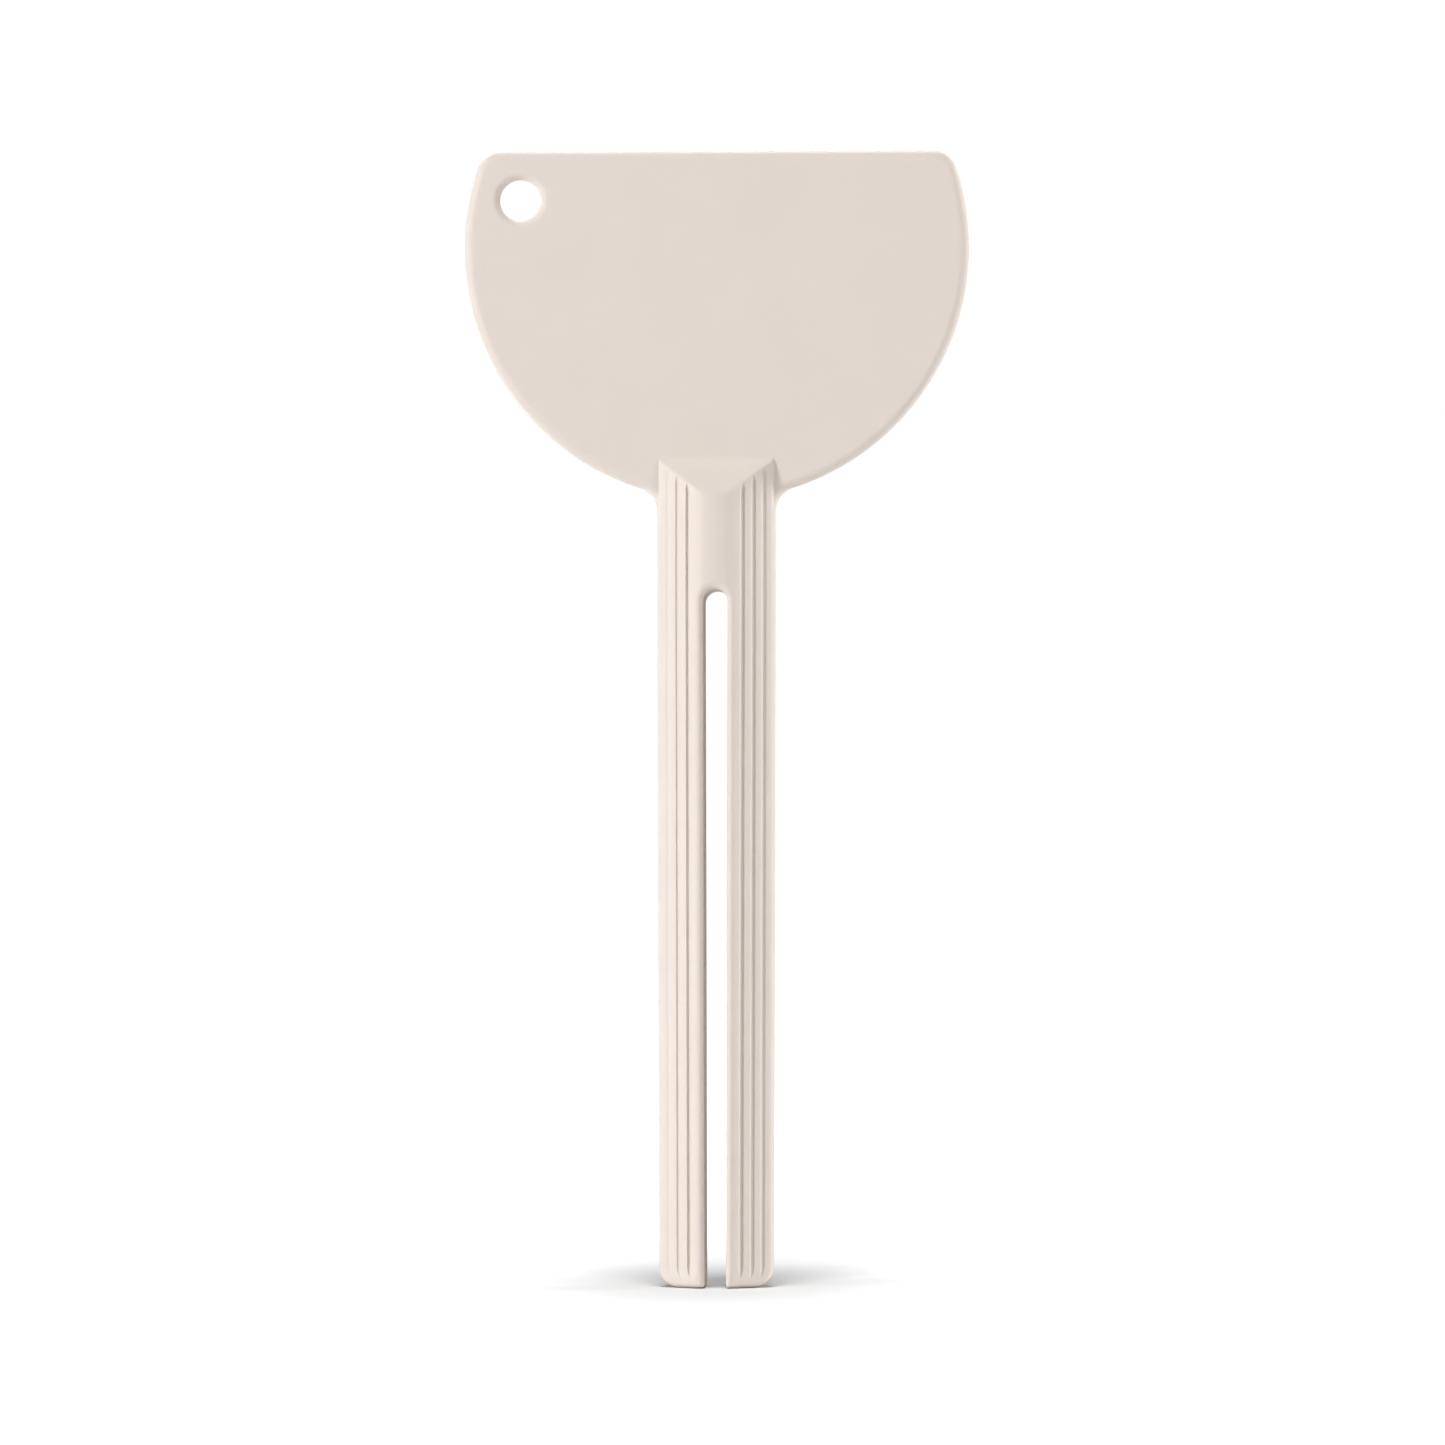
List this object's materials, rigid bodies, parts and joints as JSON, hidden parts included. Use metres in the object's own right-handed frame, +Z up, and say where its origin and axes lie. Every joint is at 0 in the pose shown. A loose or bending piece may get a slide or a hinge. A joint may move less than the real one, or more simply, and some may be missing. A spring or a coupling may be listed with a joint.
{
  "type": "tube squeezer key",
  "caption": "Flat D-shaped key handle with a hanging hole on a fluted, slotted shaft that winds up a tube from its end.",
  "frame": {"origin": "on the ground midway between the two prong tips, with the key standing on them", "axes": "+Z up along the slot from the tips to the handle's flat top, +Y out of the handle's back face, -Y out of its front face, +X to the right seen from the front"},
  "size_m": [0.0556, 0.0096, 0.125],
  "materials": {
    "cream_coat": "satin cream powder coat over light metal"
  },
  "bodies": {
    "root": {"key_plate": "cream_coat", "front_shaft_half": "cream_coat", "back_shaft_half": "cream_coat"}
  },
  "joints": []
}
